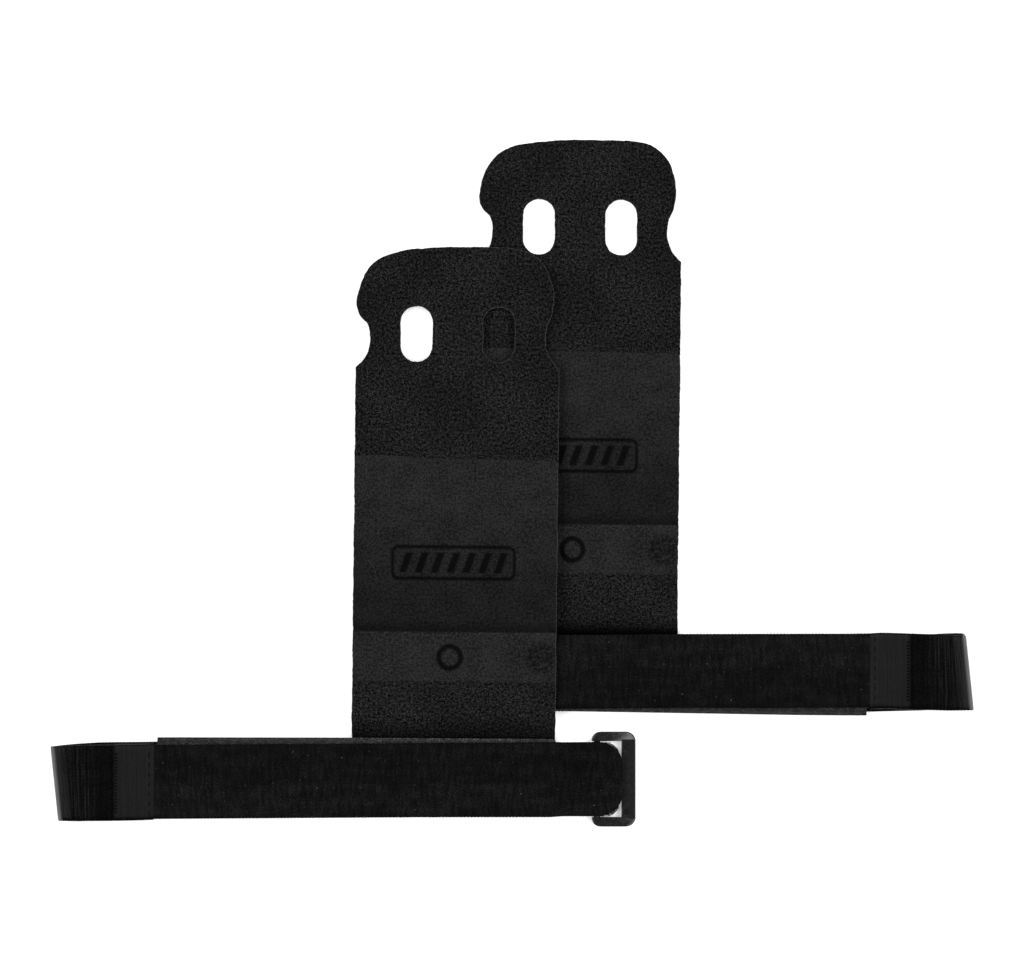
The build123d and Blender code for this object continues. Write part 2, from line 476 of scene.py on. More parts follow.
def weave_material(name, base, rough, specular, pitch, contrast, streak, relief, run, lint=0.0):
    """Woven nylon tape: warp ribs along it, weft across, a soft shine and stray lint.

    The three heights in relief, in millimetres, are the weave's, the cross streaks' and
    the grain's; run is how fast the streaks change along their length. Past the end
    loop's crest the tape lies flat and the streaks fade; a painted highlight runs along
    the bend at the fold.
    """
    m = Nodes(name, rough, specular)
    uv = m.uv()
    u, v = m.split(uv)
    warp = m.math("SINE", m.times(v, 2 * math.pi / pitch))
    row = m.math("FLOOR", m.times(v, 1 / pitch))
    phase = m.times(row, math.pi)
    weft = m.math("SINE", m.scaled(u, 2 * math.pi / (pitch * 1.3), phase))
    weave = m.plus(m.times(warp, 0.35), m.times(weft, 0.65))
    patch = m.noise(m.join(m.times(u, 0.05), m.times(v, 0.25)), 1.0, 3.0)
    bands = m.noise(m.join(m.times(u, 0.9), m.times(v, run)), 1.0, 3.0)
    loose = m.range(u, -15.0, -21.0, 0.15, 1.0)
    grain = m.noise(uv, 1.6, 3.0, 0.65)
    step = m.plus(v, m.times(m.noise(uv, 0.06, 2.0), 1.5))
    tone = m.times(m.range(patch, 0.38, 0.62, 0.75, 1.25), m.range(step, -0.7, -0.3, 1.16, 0.88))
    for part, lo, hi, swing in (
        (grain, 0.35, 0.65, contrast),
        (bands, 0.35, 0.65, streak),
        (weave, -1.0, 1.0, contrast * 0.5),
    ):
        tone = m.times(tone, m.range(part, lo, hi, 1 - swing, 1 + swing))
    base = m.times(tone, base)
    # Painted highlight: the tape's colour is raised along the bend at the fold.
    fold_highlight = m.range(m.math("ABSOLUTE", m.plus(u, FOLD_U)), 1.1, 0.3)
    base = m.scaled(m.times(fold_highlight, m.range(bands, 0.3, 0.6, 0.4, 1.0)), 0.11, base)
    if lint:
        dot = m.range(m.noise(uv, 1.0, 2.0, 0.6), 0.695, 0.76)
        base = m.scaled(dot, lint, base)
    m.colour(base)
    m.rough(m.range(grain, 0.3, 0.7, rough - 0.05, rough + 0.08))
    height = m.times(weave, relief[0])
    height = m.scaled(m.times(bands, loose), relief[1], height)
    m.bump(m.scaled(grain, relief[2], height), 1.0, 1.0)
    return m.mat


def pile_material():
    """Brushed loops of pile, greyer where the loops catch the light, painted paler towards the ring end
    where the tail shades it.
    """
    m = Nodes("pile", 0.8, 0.1, sheen=0.05, sheen_rough=0.35)
    uv = m.uv()
    u = m.split(uv)[0]
    fuzz = m.noise(uv, 2.4, 4.0, 0.75)
    clumps_and_painted_light = m.range(m.noise(uv, 0.55, 2.0), 0.36, 0.62, 0.55, 1.35)
    # Painted light: the pile's colour rises towards the ring end, where the tail above shades it.
    clumps_and_painted_light = m.times(clumps_and_painted_light, m.range(u, PILE_FROM_X, PILE_TO_X, 0.78, 1.12))
    base = m.range(fuzz, 0.43, 0.59, 0.002, 0.054)
    m.colour(m.times(base, clumps_and_painted_light))
    m.bump(fuzz, 1.0, 0.3)
    return m.mat


def plastic_material():
    """Moulded black plastic with a fine grain and a few light rubs."""
    m = Nodes("ring_plastic", 0.16, 0.35)
    uv = m.uv()
    grain = m.noise(uv, 5.0, 2.0)
    rub = m.noise(uv, 0.7, 3.0)
    m.colour(m.range(rub, 0.35, 0.7, 0.007, 0.0105))
    m.rough(m.range(rub, 0.35, 0.7, 0.14, 0.18))
    m.bump(grain, 0.35, 0.03)
    return m.mat


def thread_material(name, dark, light):
    """Sewing thread with a twist."""
    m = Nodes(name, 0.85, 0.02)
    u, v = m.split(m.uv())
    twist = m.math("SINE", m.plus(m.times(u, 9.0), m.times(v, 6.0)))
    m.colour(m.range(twist, -1.0, 1.0, dark, light))
    m.bump(twist, 0.8, 0.06)
    return m.mat


def lint_material():
    """Pale bits of lint and stray fibre."""
    m = Nodes("lint", 0.8, 0.1)
    m.colour(m.range(m.noise(m.uv(), 0.6), 0.35, 0.65, 0.25, 0.7))
    return m.mat


def floor_material():
    """Plain pale backdrop."""
    m = Nodes("floor_white", 0.9, 0.0)
    m.put(m.shader, "Base Color", (0.86, 0.86, 0.86))
    m.put(m.shader, "Emission Color", (1.0, 1.0, 1.0))
    m.put(m.shader, "Emission Strength", 0.35)
    m.rough(m.range(m.noise(m.uv(), 0.02), 0.3, 0.7, 0.85, 0.95))
    return m.mat


# ---- leather


def catmull(points, start, end, step):
    """A smooth curve through points, leaving the first and reaching the last along given directions."""
    p = [np.array(q, float) for q in points]
    slope = [(p[i + 1] - p[i - 1]) / 2 for i in range(1, len(p) - 1)]
    first = np.array(start) * np.linalg.norm(p[1] - p[0])
    last = np.array(end) * np.linalg.norm(p[-1] - p[-2])
    slope = [first, *slope, last]
    out = []
    for i in range(len(p) - 1):
        pieces = max(2, int(np.linalg.norm(p[i + 1] - p[i]) / step))
        for k in range(pieces):
            t = k / pieces
            a, b = 2 * t**3 - 3 * t**2 + 1, t**3 - 2 * t**2 + t
            c, d = -2 * t**3 + 3 * t**2, t**3 - t**2
            out.append(a * p[i] + b * slope[i] + c * p[i + 1] + d * slope[i + 1])
    return out


def three_point_arc(a, b, c, step):
    """Points on the arc from a through b, up to but without c."""
    a, b, c = (np.array(p, float) for p in (a, b, c))
    m = np.array([b - a, c - a]) * 2
    middle = np.linalg.solve(m, [b @ b - a @ a, c @ c - a @ a])
    angles = np.unwrap([math.atan2(*(p - middle)[::-1]) for p in (a, b, c)])
    r = np.linalg.norm(a - middle)
    pieces = max(4, int(abs(angles[2] - angles[0]) * r / step))
    at = np.linspace(angles[0], angles[2], pieces + 1)[:-1]
    return [middle + r * np.array([math.cos(t), math.sin(t)]) for t in at]


def split_line(u):
    """Where the pressed band ends: the line where the leather is divided into two pieces."""
    return BAND_HIGH + BAND_HIGH_TILT * (u + BODY_HALF) + 0.6 * math.exp(-((u + 24) / 12) ** 2) - 0.4


def marked(soft, sharp):
    """An outline's points, and which of them stay sharp."""
    return np.array(soft + sharp), np.array([False] * len(soft) + [True] * len(sharp))


def blank_loops(upper, step):
    """Outline and holes of one half of the blank, each as marked() gives it."""
    left, right = (-BODY_HALF, split_line(-BODY_HALF)), (BODY_HALF, split_line(BODY_HALF))
    cut = [np.array((u, split_line(u))) for u in np.arange(-BODY_HALF, BODY_HALF, step)]
    if not upper:
        side = straight(left, (-BODY_HALF, -TAB_DEPTH), step)
        side += straight((-BODY_HALF, -TAB_DEPTH), (BODY_HALF, -TAB_DEPTH), step)
        side += straight((BODY_HALF, -TAB_DEPTH), right, step)
        cut = [np.array(right)] + cut[:0:-1]
        return [marked(side, cut)]
    side = straight(right, (BODY_HALF, SHOULDER_Y), step)
    side += three_point_arc((BODY_HALF, SHOULDER_Y), (WAIST_HALF, WAIST_Y), HEAD[0], step)
    side += catmull(HEAD, (0.55, 0.83), (0.7, -0.7), step)
    side += three_point_arc(HEAD[-1], (-WAIST_HALF, WAIST_Y), (-BODY_HALF, SHOULDER_Y), step)
    side += straight((-BODY_HALF, SHOULDER_Y), left, step)
    loops = [marked(side, cut)]
    for off in (-SLOT_OFF, SLOT_OFF):
        r, reach = SLOT_W / 2, (SLOT_L - SLOT_W) / 2
        angles = np.linspace(0, -math.pi, 22)
        low = [(off + r * math.cos(t), SLOT_Y - reach + r * math.sin(t)) for t in angles]
        high = [(off - r * math.cos(t), SLOT_Y + reach - r * math.sin(t)) for t in angles]
        slot = straight(high[-1], low[0], step) + low[:-1] + straight(low[-1], high[0], step) + high[:-1]
        loops.append(marked(slot, []))
    return loops


def ragged(points, keep, seed):
    """Moves an outline's points a little, as a cut suede edge is."""
    inward = inward_normals(points)
    nap = ripple(points, 0.9, seed) * 0.16 + ripple(points, 0.22, seed + 5) * 0.22
    return points + inward * (nap * ~keep)[:, None]


def inward_normals(points):
    """Unit normals to the left of a closed outline's direction of travel."""
    step = np.roll(points, -1, axis=0) - np.roll(points, 1, axis=0)
    step /= np.linalg.norm(step, axis=1)[:, None] + 1e-9
    return np.stack([-step[:, 1], step[:, 0]], axis=1)


def distance_inside(points, loops):
    """Distance of each point from the nearest outline point, negative outside the leather."""
    nearest = np.full(len(points), 1e9)
    inside = np.zeros(len(points), bool)
    for loop in loops:
        a, b = loop, np.roll(loop, -1, axis=0)
        for i in range(0, len(points), 4000):
            part = slice(i, i + 4000)
            p = points[part]
            far = np.sqrt(((p[:, None] - a[None]) ** 2).sum(2)).min(1)
            nearest[part] = np.minimum(nearest[part], far)
            above = (a[None, :, 1] > p[:, None, 1]) != (b[None, :, 1] > p[:, None, 1])
            rise = b[:, 1] - a[:, 1]
            rise = np.where(np.abs(rise) < 1e-9, 1e-9, rise)
            cross = a[:, 0] + (p[:, None, 1] - a[:, 1]) / rise * (b[:, 0] - a[:, 0])
            hits = (above & (p[:, None, 0] < cross)).sum(1)
            inside[part] ^= (hits % 2).astype(bool)
    return np.where(inside, nearest, -nearest)


def bars(u, v):
    """Signed distance to the plain slanted bars inside the badge."""
    cu, cv, _, half_v = BADGE
    lean = (u - cu) - 0.35 * (v - cv)
    pitch = 5.2
    near = lean - np.clip(np.round(lean / pitch), -3, 3) * pitch
    return np.maximum(np.abs(near) - 1.15, np.abs(v - cv) - (half_v - 2.0))


def pressed_marks(u, v):
    """How deep the plain marks are pressed, from 0 to 1."""
    cu, cv, half_u, half_v = BADGE
    r = 2.0
    qu, qv = np.abs(u - cu) - half_u + r, np.abs(v - cv) - half_v + r
    outer = np.hypot(np.maximum(qu, 0), np.maximum(qv, 0))
    frame_line = np.abs(outer + np.minimum(np.maximum(qu, qv), 0) - r) - 0.45
    mu, mv, mr = MARK
    ring_line = np.abs(np.hypot(u - mu, v - mv) - mr) - 0.75
    nearest = np.minimum(np.minimum(frame_line, bars(u, v)), ring_line)
    return 1 - smooth(-0.25, 0.35, nearest)


def relief(u, v, upper):
    """Height of the top face over its plain level."""
    nap = 0.035 * ripple(np.stack([u, v], 1), 0.7, 3.0)
    if upper:
        return nap
    low = smooth(BAND_LOW - 0.5, BAND_LOW + 0.5, v)
    crease = np.exp(-(((v - CREASE_Y) / 0.45) ** 2))
    return nap * (1 - 0.7 * low) - BAND_DEPTH * low + 0.03 * crease - 0.3 * pressed_marks(u, v)


def side_of_a(y):
    """Grip A's leather from the side: height of its middle, and its slope, at each Y."""
    path, direction, _ = arc_path([(-125.0, 0.9), *RAMP, (90.0, 2.94)], [RAMP_R, RAMP_R, 30], 0.25)
    z = np.interp(y, path[:, 0], path[:, 1])
    slope = np.interp(y, path[:, 0], direction[:, 1] / direction[:, 0])
    return z, slope


def blank_to_row(name, u, v, h):
    """Blank coordinates and height from the leather's middle, turned into the row frame."""
    grip = GRIPS[name]
    x = grip["leather_x"] + math.cos(LEAN) * u - math.sin(LEAN) * (v + STRAP_W / 2)
    y = grip["strap_y"] + math.sin(LEAN) * u + math.cos(LEAN) * (v + STRAP_W / 2)
    if name == "a":
        z, slope = side_of_a(y)
    else:
        z, slope = np.full(len(y), LEATHER_T / 2), np.zeros(len(y))
    tilt = np.arctan(slope)
    lift = wave(name, u, v)
    return np.stack([x, y - h * np.sin(tilt), z + lift + h * np.cos(tilt)], axis=1)


def wave(name, u, v):
    """The slight unevenness of a hide that has been laid down: zero at the strap."""
    free = smooth(12, 60, v)
    p = np.stack([u, v], 1)
    curl = 0.35 * smooth(20, 34, np.abs(u)) * (0.5 + 0.5 * ripple(p, 0.03, 9.0 if name == "a" else 4.0))
    return free * (0.18 * (1 + ripple(p, 0.035, 2.0 if name == "a" else 7.0)) + curl)


def leather_piece(name, upper):
    """One closed piece of a leather blank: its faces, rounded raw edges and holes."""
    loops = blank_loops(upper, OUTLINE_STEP)
    shaped = [(ragged(points, keep, 1.0 if name == "a" else 30.0), keep) for points, keep in loops]
    t = LEATHER_T / 2
    profile = [(0.32, t), (0.12, t - 0.08), (0.02, t - 0.3), (0.0, 0.1), (0.05, -t + 0.3), (0.5, -t)]
    rings = []
    for inset, h in profile:
        ring = [p + inward_normals(p) * (inset * ~keep)[:, None] for p, keep in shaped]
        rings.append((ring, h))
    top = face_mesh(rings[0][0], 1.05, upper)
    bottom = face_mesh(rings[-1][0], 4.0, upper, coarse=True)
    return stitch_faces(name, upper, rings, top, bottom)


def face_mesh(loops, pitch, upper, coarse=False):
    """Points and triangles that fill an outline with holes."""
    points = np.vstack(loops)
    edges = []
    start = 0
    for loop in loops:
        n = len(loop)
        edges += [(start + i, start + (i + 1) % n) for i in range(n)]
        start += n
    lo, hi = points.min(0), points.max(0)
    rows = np.arange(lo[1], hi[1], pitch * 0.87)
    us = np.arange(lo[0], hi[0], pitch)
    grid = np.array([(u + (pitch / 2 if k % 2 else 0), v) for k, v in enumerate(rows) for u in us])
    if not (upper or coarse):
        grid = np.vstack([thin(grid), mark_grid()])
    grid = grid[distance_inside(grid, loops) > pitch * 0.55]
    everything = np.vstack([points, grid])
    out = delaunay_2d_cdt([Vector(p) for p in everything], edges, [], 0, 1e-5, True)
    verts = np.array([tuple(p) for p in out[0]])
    source = [ids[0] if ids else -1 for ids in out[3]]
    place = {s: k for k, s in enumerate(source)}
    walls = {frozenset((place[a], place[b])) for a, b in edges}
    triangles = [tuple(t) for t in out[2]]
    deep = distance_inside(verts[np.array(triangles)].mean(1), loops) > 0.3
    return verts, enclosed(triangles, walls, deep), source, len(points)


def enclosed(triangles, walls, seeds):
    """The triangles that can be reached from the seeds without crossing a wall."""
    beside = {}
    for k, t in enumerate(triangles):
        for i in range(3):
            beside.setdefault(frozenset((t[i], t[i - 1])), []).append(k)
    reached = set(np.flatnonzero(seeds).tolist())
    waiting = list(reached)
    while waiting:
        t = triangles[waiting.pop()]
        for i in range(3):
            edge = frozenset((t[i], t[i - 1]))
            if edge in walls:
                continue
            for k in beside[edge]:
                if k not in reached:
                    reached.add(k)
                    waiting.append(k)
    return [triangles[k] for k in sorted(reached)]


def thin(grid):
    """The coarse grid without the places that the fine grids of the marks cover."""
    cu, cv, half_u, half_v = BADGE
    mu, mv, mr = MARK
    u, v = grid.T
    badge = (np.abs(u - cu) < half_u + 1.6) & (np.abs(v - cv) < half_v + 1.6)
    mark = (np.abs(u - mu) < mr + 2.0) & (np.abs(v - mv) < mr + 2.0)
    lines = (np.abs(v - BAND_LOW) < 1.0) | (np.abs(v - CREASE_Y) < 1.0)
    return grid[~(badge | mark | lines)]


def mark_grid():
    """Fine points over the badge, the round mark, the band's lower edge and the crease."""
    cu, cv, half_u, half_v = BADGE
    mu, mv, mr = MARK
    areas = [
        (cu - half_u - 1.2, cu + half_u + 1.2, cv - half_v - 1.2, cv + half_v + 1.2, 0.36, 0.36),
        (mu - mr - 1.6, mu + mr + 1.6, mv - mr - 1.6, mv + mr + 1.6, 0.36, 0.36),
        (-BODY_HALF, BODY_HALF, BAND_LOW - 0.75, BAND_LOW + 0.8, 1.0, 0.3),
        (-BODY_HALF, BODY_HALF, CREASE_Y - 0.75, CREASE_Y + 0.8, 1.0, 0.3),
    ]
    out = []
    for u0, u1, v0, v1, du, dv in areas:
        us, vs = np.meshgrid(np.arange(u0, u1, du), np.arange(v0, v1, dv))
        out.append(np.stack([us.ravel(), vs.ravel()], 1))
    return np.vstack(out)


def stitch_faces(name, upper, rings, top, bottom):
    """Joins the two faces and the edge rings between them into one closed mesh."""
    spots, height, rim, faces, rows = [], [], [], [], []
    count = 0
    for index, (loops, h) in enumerate(rings):
        flat = np.vstack(loops)
        plain = flat, [], range(len(flat)), len(flat)
        points, triangles, source, n = {0: top, len(rings) - 1: bottom}.get(index, plain)
        order = np.full(n, -1)
        for k, s in enumerate(source):
            if 0 <= s < n:
                order[s] = k
        rows.append(order + count)
        if index == 0:
            h = h + relief(points[:, 0], points[:, 1], upper)
        else:
            triangles = [tuple(reversed(t)) for t in triangles]
        spots.append(points)
        height.append(np.zeros(len(points)) + h)
        rim.append(np.full(len(points), RIM_TONE[index]))
        faces += [tuple(i + count for i in t) for t in triangles]
        count += len(points)
    sizes = [len(loop) for loop in rings[0][0]]
    for upper_row, lower_row in zip(rows, rows[1:]):
        start = 0
        for n in sizes:
            for i in range(n):
                a, b = start + i, start + (i + 1) % n
                faces.append((upper_row[b], upper_row[a], lower_row[a], lower_row[b]))
            start += n
    flat = np.vstack(spots)
    row = blank_to_row(name, flat[:, 0], flat[:, 1], np.concatenate(height))
    part = "finger" if upper else "palm"
    return make_mesh(
        f"{part}_leather_skin_{name}",
        row,
        faces,
        flat,
        sharp=50,
        rim=np.concatenate(rim),
        above=np.full(len(flat), 1.0 if upper else 0.0),
        pressed=np.zeros(len(flat)) if upper else pressed_marks(flat[:, 0], flat[:, 1]),
    )


def declare_leather(upper):
    """Works out the flat leather's outlines; nothing is done with them."""
    loops = [points for points, _ in blank_loops(upper, OUTLINE_STEP)]


def build_leather(name, suede):
    """Both pieces of one grip's leather, cut apart where the pressed band ends; grip A's turns up over
    grip B's near the strap.
    """
    palm = leather_piece(name, False)
    fingers = leather_piece(name, True)
    for obj in (palm, fingers):
        obj.data.materials.append(suede)
    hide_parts(f"wrist_tab_{name}", f"palm_leather_{name}")
    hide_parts(f"finger_leather_{name}")
    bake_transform(palm)
    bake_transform(fingers)
    return palm, fingers


# ---- strap


def serration(along, depth=0.1, pitch=1.15):
    """Bumps of the weft turning at the tape's edge."""
    return depth * np.sin(along * 2 * math.pi / pitch)


def tip_squeeze(x):
    """Share of the full width left at each station of the tail's rounded tip."""
    rx, ry = 8.2, 7.2
    t = np.clip((x - (TIP_X - rx)) / rx, 0, 1)
    return 1 - ry * (1 - np.sqrt(1 - t**2)) / (HOOK_W / 2)


def base_shift(grip, verts):
    """Blends the back layer's and the front layer's offsets round the fold."""
    high = smooth(2.0, 8.0, verts[:, 2]) * (verts[:, 0] < LEVEL_X)
    back, front = (askew(grip, layer, verts[:, 0]) for layer in ("back", "front"))
    return back * (1 - high) + front * high


def base_tape(name, grip, webbing):
    """The base tape in one piece: the eye, the level run, the end loop and its overlap."""
    eye_top = BAR_Z + BAR_D / 2 + 0.15 + TAPE_T / 2
    eye_low = BAR_Z - BAR_D / 2 - 0.15 - TAPE_T / 2
    flap_z = TAPE_Z - TAPE_T - 0.05
    points = [
        (16.0, flap_z), (19.5, flap_z), (23.5, eye_low), (34.8, eye_low), (34.8, eye_top),
        (23.5, eye_top), (16.5, TAPE_Z), (-119.0, TAPE_Z), (-131.0, TAPE_T / 2),
        (FOLD_X + TAPE_T / 2, TAPE_T / 2), (FOLD_X + TAPE_T / 2, 8.93), (FOLD_X + 4.3, CREST_Z),
        (CREST_X, CREST_Z), (FRONT_END_X, loop_height(FRONT_END_X)),
    ]
    radii = [5, 5, 1.4, 1.4, 6, 6, 8, 8, 4.1, 1.3, 38, 5]
    path, direction, along = arc_path(points, radii, 0.55)
    section = tape_section(STRAP_W, TAPE_T)
    verts, faces = sweep(path, direction, section, serration(along))
    uv = np.stack([np.repeat(along - along[-1], len(section)), verts[:, 1]], axis=1)
    verts[:, 1] *= 1 - 0.02 * (1 - smooth(FOLD_X, FOLD_X + 10, verts[:, 0]))
    verts[:, 1] *= 1 - 0.03 * smooth(12, 18, verts[:, 0])
    verts[:, 1] *= np.minimum(tip_squeeze(verts[:, 0]) + EYE_RIM, 1.0)
    verts[:, 1] += base_shift(grip, verts)
    verts[:, 0] += fold_slant(verts)
    return make_mesh(f"base_tape_skin_{name}", on_strap(grip, verts), faces, uv, 50, webbing)


def fold_slant(verts):
    """The loop's far end leans: one edge of the tape stands further in than the other."""
    near = 1 - smooth(FOLD_X, FOLD_X + 14, verts[:, 0])
    return near * 2.6 * (0.5 - verts[:, 1] / STRAP_W)


def hook_tape(name, grip, material):
    """The tail's woven backing with its rounded tip."""
    drop = (HOOK_T - HOOK_BACK_T) / 2
    points = [
        (HOOK_FROM_X, loop_height(HOOK_FROM_X) - SEAM_LIFT + drop),
        (LEVEL_X, TAIL_Z + drop),
        (TIP_X, TAIL_Z + drop),
    ]
    path, direction, along = arc_path(points, [20], 0.55)
    section = tape_section(HOOK_W, HOOK_BACK_T)
    verts, faces = sweep(path, direction, section, serration(along), tip_squeeze(path[:, 0]))
    uv = np.stack([np.repeat(along, len(section)), verts[:, 1]], axis=1)
    verts[:, 1] += askew(grip, "front", verts[:, 0])
    return make_mesh(f"hook_back_{name}", on_strap(grip, verts), faces, uv, 50, material)


def hook_shape():
    """One hook: a bent stub, three-sided, with both ends closed."""
    stub = np.array([(0, 0, 0), (0.02, 0, -0.22), (0.14, 0, -0.42), (0.34, 0, -0.42)])
    r = 0.11
    ring = np.array([(0.0, r), (0.87 * r, -0.5 * r), (-0.87 * r, -0.5 * r)])
    shape = []
    for k, p in enumerate(stub):
        for a, b in ring * (1 - 0.12 * k):
            shape.append((p[0] + a, b, p[2] + (0 if k < 2 else a * 0.6)))
    return np.array(shape), tube_faces(4, 3) + [(11, 10, 9), (0, 1, 2)]


def hook_rows(name, grip, material):
    """The hooks under the tail: rows of short bent stubs."""
    pitch_x, pitch_y = 1.3, 1.25
    shape, faces = hook_shape()
    out = Shells()
    base = TAIL_Z + HOOK_T / 2 - HOOK_BACK_T + 0.04
    for i, x in enumerate(np.arange(PILE_FROM_X + 1, TIP_X - 1.2, pitch_x)):
        half = HOOK_W / 2 * tip_squeeze(x) - 1.1
        shift = askew(grip, "front", x)
        for y in np.arange(-half, half, pitch_y):
            way = 1 if i % 2 else -1
            out.add(shape * (way, 1, 1) + (x, y + shift, base), faces)
    return out.mesh(f"hooks_{name}", grip, material)


def pile_piece(name, grip, material):
    """Pile tape: thin selvedges and a lumpy raised middle."""
    xs = np.arange(PILE_FROM_X, PILE_TO_X + 0.3, 0.6)
    half = STRAP_W / 2
    step = half - SELVEDGE_W
    top = list(np.linspace(-step + 0.25, step - 0.25, 36))
    section = [(-half, 0.0), (-half, SELVEDGE_T), (-step - 0.12, SELVEDGE_T), (-step, PILE_T * 0.6)]
    section += [(w, PILE_T) for w in top]
    section += [(step, PILE_T * 0.6), (step + 0.12, SELVEDGE_T), (half, SELVEDGE_T), (half, 0.0)]
    section = np.array(section)
    grid = np.array([(x, w) for x in xs for w in section[:, 0]])
    lumps = ripple(grid, 1.1, 11.0)
    verts = np.zeros((len(grid), 3))
    verts[:, 0], verts[:, 1] = grid[:, 0], grid[:, 1]
    verts[:, 2] = PILE_Z + np.tile(section[:, 1], len(xs))
    raised = np.tile(section[:, 1] > SELVEDGE_T + 0.1, len(xs))
    verts[:, 2] += raised * (0.12 * lumps - 0.1)
    verts[:, 1] += raised * 0.1 * ripple(grid, 1.4, 17.0)
    uv = verts[:, :2].copy()
    verts[:, 1] += askew(grip, "pile", verts[:, 0])
    faces = tube_faces(len(xs), len(section), True)
    return make_mesh(f"pile_skin_{name}", on_strap(grip, verts), faces, uv, 60, material)


def fibre(span, tall, spin, r=0.055):
    """One stray loop of fibre standing on the cloth: a thin three-sided arch."""
    ring = np.array([(0.0, r), (0.87 * r, -0.5 * r), (-0.87 * r, -0.5 * r)])
    t = np.linspace(0, math.pi, 5)
    line = np.stack([np.cos(t) * span / 2, np.zeros(5), np.sin(t) * tall], 1)
    verts = []
    for k, p in enumerate(line):
        for a, b in ring:
            verts.append((p[0] + a * math.cos(t[k]), b, p[2] + a * math.sin(t[k])))
    verts = np.array(verts)
    c, s = math.cos(spin), math.sin(spin)
    x, y = verts[:, 0] * c - verts[:, 1] * s, verts[:, 0] * s + verts[:, 1] * c
    return np.stack([x, y, verts[:, 2]], 1), tube_faces(5, 3)


def pile_loops(name, grip, material):
    """Stray loops of pile standing up along the strip that shows beside the tail."""
    rng = np.random.default_rng(7 if name == "a" else 8)
    out = Shells()
    for _ in range(2600):
        x = rng.uniform(PILE_FROM_X + 0.4, PILE_TO_X - 0.4)
        y = rng.uniform(-1, 1)
        y = math.copysign(STRAP_W / 2 - SELVEDGE_W + 0.3 - 2.4 * abs(y) ** 1.5, y)
        verts, faces = fibre(rng.uniform(0.3, 0.7), rng.uniform(0.15, 0.4), rng.uniform(0, math.pi))
        verts += (x, y + askew(grip, "pile", x), PILE_Z + PILE_T - 0.22)
        out.add(verts, faces)
    return out.mesh(f"pile_loops_{name}", grip, material)


def lint(name, grip, material):
    """Pale fibres caught on the eye beside the tail's rounded tip."""
    rng = np.random.default_rng(3 if name == "a" else 4)
    out = Shells()
    top = BAR_Z + BAR_D / 2 + 0.15 + TAPE_T
    for i in range(36):
        side = 1 if i % 2 else -1
        x = rng.uniform(30.5, 35.0)
        edge = tip_squeeze(x)
        y = HOOK_W / 2 * rng.uniform(edge * 0.98, min(edge + EYE_RIM, 0.985))
        spin = side * rng.normal(0.8, 0.35)
        verts, faces = fibre(rng.uniform(0.4, 1.2), rng.uniform(0.05, 0.2), spin, 0.06)
        out.add(verts + (x, side * y + 0.35, top), faces)
    return out.mesh(f"lint_{name}", grip, material)


# ---- ring


def rounded_outline(x0, x1, y0, y1, radii):
    """A rectangle with rounded corners; radii run from the (x1, y1) corner round."""
    loop = []
    for (cx, cy, start), r in zip([(x1, y1, 0), (x0, y1, 90), (x0, y0, 180), (x1, y0, 270)], radii):
        mx = cx - math.copysign(r, cx - (x0 + x1) / 2)
        my = cy - math.copysign(r, cy - (y0 + y1) / 2)
        for k in range(9):
            a = math.radians(start + 90 * k / 8)
            loop.append((mx + r * math.cos(a), my + r * math.sin(a)))
    return loop


def rounded_slab(x0, x1, y0, y1, z0, z1, radii, bevel=0.5):
    """A block with rounded corners and rounded upper and lower edges."""
    angles = np.linspace(0, math.pi / 2, 6)
    steps = [(bevel * (1 - math.cos(a)), bevel * (1 - math.sin(a))) for a in angles]
    rows = [(bevel + 0.15, z1)] + [(inset, z1 - drop) for inset, drop in steps][::-1]
    rows += [(inset, z0 + drop) for inset, drop in steps] + [(bevel + 0.15, z0)]
    verts = []
    for inset, z in rows:
        corners = [max(r - inset, 0.03) for r in radii]
        ring = rounded_outline(x0 + inset, x1 - inset, y0 + inset, y1 - inset, corners)
        verts += [(x, y, z) for x, y in ring]
    return np.array(verts), tube_faces(len(rows), len(verts) // len(rows), True)


def circle(r, n):
    """Points evenly round a circle."""
    angles = np.linspace(0, 2 * math.pi, n, endpoint=False)
    return [(r * math.cos(a), r * math.sin(a)) for a in angles]


def round_bar(y0, y1):
    """The ring's round bar, with its ends inside the arms."""
    rows = []
    for y, swell in ((y0, 1.25), (y0 + 1.2, 1.0), (0.0, 1.0), (y1 - 1.2, 1.0), (y1, 1.25)):
        rows += [(BAR_X + a, y, BAR_Z + b) for a, b in circle(BAR_D / 2 * swell, 28)]
    return np.array(rows), tube_faces(5, 28)


def dimple(x, y, z):
    """A shallow ejector mark: a small raised rim round a dish."""
    rows = [(1.0, 0.0), (0.75, 0.3), (0.6, 0.3), (0.4, 0.02), (0.01, 0.0)]
    verts = [(x + a, y + b, z + h) for r, h in rows for a, b in circle(r, 24)]
    return np.array(verts), tube_faces(len(rows), 24)


def droop(verts, slope):
    """Lets an arm's upper face fall away towards the grip bar."""
    verts = verts.copy()
    high = smooth(BAR_Z - 0.5, BAR_Z + 1.0, verts[:, 2])
    verts[:, 2] -= high * slope * np.maximum(verts[:, 0] - 35.4, 0)
    return verts


